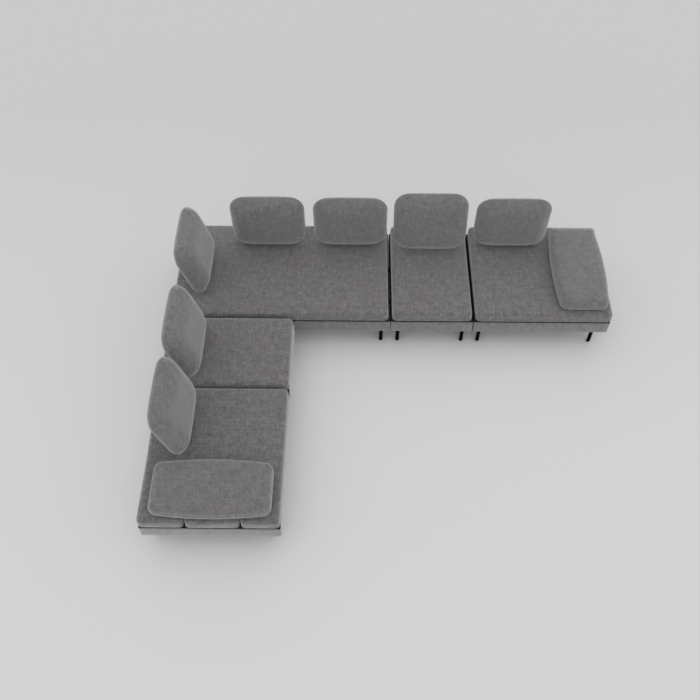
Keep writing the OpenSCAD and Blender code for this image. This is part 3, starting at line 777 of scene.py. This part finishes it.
# %% Cover the five bases
for unit in UNITS:
    cover = base_cover(unit)
    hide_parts(unit + "_base_cover")
    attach(cover, "base")
    print(cover.name, len(cover.data.polygons), "faces")

# %% [markdown]
# ## Back pads
# All seven back pads are the same: a thick pad with very round corners, a full round rim and a
# domed front. One is cut and stuffed flat on the table, then copied to each hinge at the lean
# that the hinge has in the photo. The lean follows from the hinge's range, which begins at two
# degrees forward. The rear is drawn in under the panel that the hinge is screwed to, and the lower
# edge ends a little above the box's foot, so that the pad clears the seat when it tilts forward.

# %% One pad on the table
PAD_W, PAD_H, PAD_TOP_CORNER, PAD_FOOT_CORNER = 0.609, 0.514, 0.118, 0.134
PAD_REAR, PAD_FRONT, PAD_BELOW_PIN, PIN_BEHIND = 0.053, 0.088, 0.262, 0.022
PAD_SLOPE, PAD_THIN, FOOT_PLAY, PAD_SQUARE = 0.150, 0.45, 0.003, 0.016
PAD_SEAM, SEAM_BAND, RIM_LEFT, PAD_PRESSURE, PAD_SWELL = 0.002, 0.004, 0.002, 4.0, 0.006
PANEL_W, PANEL_H, PANEL_T, PANEL_CORNER = 0.400, 0.300, 0.010, 0.060
PANEL_RIM, PANEL_SQUARE, PANEL_SINK = 0.004, 0.04, 0.005
PAD_MID_Y = PAD_H / 2 - PAD_BELOW_PIN
LEAN_LOW = -2.0


def inside_rim(x, y):
    """How far a point of the pad's flat outline lies inside its edge."""
    corner = PAD_TOP_CORNER if y > PAD_MID_Y else PAD_FOOT_CORNER
    over = Vector((abs(x) - PAD_W / 2 + corner, abs(y - PAD_MID_Y) - PAD_H / 2 + corner))
    if min(over) > 0:
        return corner - over.length
    return corner - max(over)


def dome_pad(mesh):
    """The front rises from the rim in a long slope, and the corners are thinner."""
    for vert in mesh.verts:
        x, y = vert.co.x, vert.co.y
        corner = (abs(x) / (PAD_W / 2)) * (abs(y - PAD_MID_Y) / (PAD_H / 2))
        thick = 1 - PAD_THIN * corner ** 3
        if vert.co.z > PAD_REAR + 0.005:
            slope = 1 - min(max(inside_rim(x, y), 0), PAD_SLOPE) / PAD_SLOPE
            vert.co.z = PAD_REAR + max(PAD_FRONT * thick * (1 - slope ** 2) ** 0.5, 0.005)
        elif vert.co.z < PAD_REAR - 0.005:
            vert.co.z = PAD_REAR - (PAD_REAR - vert.co.z) * thick


def under_panel(co):
    side = Vector((abs(co.x) - PANEL_W / 2, abs(co.y - PAD_MID_Y) - PANEL_H / 2))
    return co.z < 0.004 and max(side) < -0.004 and sum(side) < -PANEL_CORNER * 0.6


def plain_pad():
    """The pad lies on its rear. The hinge pin's line runs along X at Y = 0, below the rear."""
    foot, top = -PAD_BELOW_PIN, PAD_H - PAD_BELOW_PIN
    points = [(-PAD_W / 2, foot), (PAD_W / 2, foot), (PAD_W / 2, top), (-PAD_W / 2, top)]
    mesh = lift_outline(points, 0, PAD_REAR + PAD_FRONT)
    round_edges(mesh, upright_edges(mesh, lambda x, y: y > 0), PAD_TOP_CORNER, 14)
    round_edges(mesh, upright_edges(mesh, lambda x, y: y < foot + 1e-4), PAD_FOOT_CORNER, 14)
    round_edges(mesh, rim_edges(mesh, PAD_REAR + PAD_FRONT), PAD_FRONT - RIM_LEFT, 10)
    round_edges(mesh, rim_edges(mesh, 0), PAD_REAR - RIM_LEFT, 7)
    cut_squares(mesh, PAD_SQUARE, [PAD_REAR - SEAM_BAND, PAD_REAR, PAD_REAR + SEAM_BAND])
    dome_pad(mesh)
    press_in(mesh, PAD_SEAM, lambda co: abs(co.z - PAD_REAR) < ON_SEAM)
    print("rear points drawn in", press_in(mesh, PANEL_SINK, under_panel))
    return finish_piece(mesh, "pad_pattern", PAD_FABRIC)


pattern = plain_pad()
def pad_is_held(co):
    return co[2] < 0.006 or abs(co[2] - PAD_REAR) < ON_SEAM

grown = stuff(pattern, pad_is_held, PAD_PRESSURE, PAD_SWELL)
print("pad swelled", round(grown * 1000, 1), "mm")
for vert in pattern.data.vertices:
    vert.co.y = max(vert.co.y, FOOT_PLAY - PAD_BELOW_PIN)

# %% Rear panel and its screws
SCREW_X, SCREW_Y, SCREW_BACK = 0.085, 0.042, 0.005
HEAD_RADIUS, HEAD_HEIGHT, HEAD_RIM, HEAD_DISH = 0.006, 0.0022, 0.0015, 0.0008


def rear_panel():
    points = [(x * PANEL_W / 2, PAD_MID_Y + y * PANEL_H / 2)
              for x, y in ((-1, -1), (1, -1), (1, 1), (-1, 1))]
    mesh = lift_outline(points, 0, PANEL_T)
    round_edges(mesh, upright_edges(mesh, lambda x, y: True), PANEL_CORNER, 12)
    round_edges(mesh, rim_edges(mesh, 0), PANEL_RIM, 4)
    cut_squares(mesh, PANEL_SQUARE)
    return finish_piece(mesh, "panel_pattern", BASE_FABRIC)


def hinge_screws():
    """Four round dished heads on the hinge plate, 5 mm behind the panel."""
    mesh = bmesh.new()
    for x in (-SCREW_X, SCREW_X):
        for y in (-SCREW_Y, SCREW_Y):
            made = bmesh.ops.create_circle(mesh, cap_ends=True, segments=20, radius=HEAD_RADIUS)
            face = made["verts"][0].link_faces[0]
            raised = bmesh.ops.extrude_face_region(mesh, geom=[face])["geom"]
            cap = next(f for f in raised if isinstance(f, bmesh.types.BMFace))
            bmesh.ops.translate(mesh, verts=cap.verts[:], vec=(0, 0, -HEAD_HEIGHT))
            inner = bmesh.ops.inset_region(
                mesh, faces=[cap], thickness=HEAD_RIM, depth=HEAD_DISH)
            head = set(made["verts"]) | set(cap.verts[:])
            for f in inner["faces"]:
                head |= set(f.verts)
            bmesh.ops.translate(mesh, verts=list(head), vec=(x, y, -SCREW_BACK))
    bmesh.ops.recalc_face_normals(mesh, faces=mesh.faces)
    return finish_piece(mesh, "screw_pattern", ZINC)


panel_pattern = rear_panel()
screw_pattern = hinge_screws()
print("panel faces", len(panel_pattern.data.polygons))
print("screw faces", len(screw_pattern.data.polygons))

# %% Stand a pad at every hinge


def pad_place(joint):
    """From the table to the hinge: the pad's face turns to the seat and leans."""
    lean = radians(LEAN_LOW - joint["range_deg"][0])
    stand_up = Matrix.Rotation(pi / 2, 4, "X") @ Matrix.Translation((0, 0, PIN_BEHIND))
    tilt = Matrix.Rotation(-lean, 4, "X")
    sideways = abs(joint["axis"][1]) > 0.5
    face = Matrix.Rotation(pi / 2 if sideways else 0, 4, "Z")
    return Matrix.Translation(joint["pos_m"]) @ face @ tilt @ stand_up


for joint in frame["joints"]:
    if not joint["name"].endswith("_back_tilt"):
        continue
    name = joint["name"].replace("_back_tilt", "")
    place = pad_place(joint)
    pad = copy_piece(pattern, name + "_back_pad_cover", place)
    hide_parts(name + "_back_cushion")
    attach(pad, joint["child"])
    panel = copy_piece(panel_pattern, name + "_rear_panel", place)
    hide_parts(name + "_back_panel")
    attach(panel, joint["child"])
    screws = copy_piece(screw_pattern, name + "_hinge_screws", place)
    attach(screws, joint["child"])
    print(pad.name, "leans", LEAN_LOW - joint["range_deg"][0])
for spare in (pattern, panel_pattern, screw_pattern):
    bpy.data.objects.remove(spare)

# %% [markdown]
# ## Arm pads
# The two arm pads are longer and thinner, and their long sides bow outwards. They lie flat on the
# seat, a few millimetres beside their boxes as in the photo. The outline has a few points along
# each bow, and only the four corners are rounded.

# %% One arm pad on the table
ARM_L, ARM_W, ARM_BOW, ARM_T, ARM_CORNER, ARM_RIM = 0.836, 0.370, 0.030, 0.112, 0.050, 0.034
ARM_SEAM, ARM_SHOULDER, ARM_CROWN, ARM_PLAY, ARM_SWELL = 0.054, 0.06, 0.003, 0.004, 0.005


def plain_arm_pad():
    def bowed(x, side):
        return (x, side * (ARM_W / 2 + ARM_BOW * (1 - (2 * x / ARM_L) ** 2)))

    steps = np.linspace(-ARM_L / 2, ARM_L / 2, 13)
    points = [bowed(x, -1) for x in steps] + [bowed(x, 1) for x in reversed(steps)]
    top = ARM_T - ARM_PLAY
    mesh = lift_outline(points, 0, top)
    corners = upright_edges(mesh, lambda x, y: abs(abs(x) - ARM_L / 2) < 1e-5)
    round_edges(mesh, corners, ARM_CORNER, 9)
    round_edges(mesh, rim_edges(mesh, top) + rim_edges(mesh, 0), ARM_RIM, 6)
    cut_squares(mesh, PAD_SQUARE, [0.050, ARM_SEAM, 0.058])
    for vert in mesh.verts:
        u, v = abs(vert.co.x) / (ARM_L / 2), abs(vert.co.y) / (ARM_W / 2 + ARM_BOW)
        rise = max(0, vert.co.z - ARM_SHOULDER) / (top - ARM_SHOULDER)
        vert.co.z += ARM_CROWN * rise * max(0, 1 - u ** 3) * max(0, 1 - v ** 3)
    return finish_piece(mesh, "arm_pattern", PAD_FABRIC)


arm_pattern = plain_arm_pad()
def arm_is_held(co):
    return co[2] < 0.002 or abs(co[2] - ARM_SEAM) < ON_SEAM

grown = stuff(arm_pattern, arm_is_held, PAD_PRESSURE, ARM_SWELL)
print("arm pad swelled", round(grown * 1000, 1), "mm")

# %% Lay the arm pads on the seat
ARM_NUDGE = {"right_end": (0, 0.009, 0), "front_end": (-0.010, -0.005, 0)}

for joint in frame["joints"]:
    if not joint["name"].endswith("_arm_swing"):
        continue
    name = joint["name"].replace("_arm_swing", "")
    low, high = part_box(name + "_arm_cushion")
    middle = (low + high) / 2 + Vector(ARM_NUDGE[name])
    turn = Matrix.Rotation(pi / 2 if high.y - low.y > high.x - low.x else 0, 4, "Z")
    place = Matrix.Translation((middle.x, middle.y, low.z)) @ turn
    arm = copy_piece(arm_pattern, name + "_arm_pad_cover", place)
    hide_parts(name + "_arm_cushion")
    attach(arm, joint["child"])
    print(arm.name, "at", [round(c, 3) for c in middle])
bpy.data.objects.remove(arm_pattern)
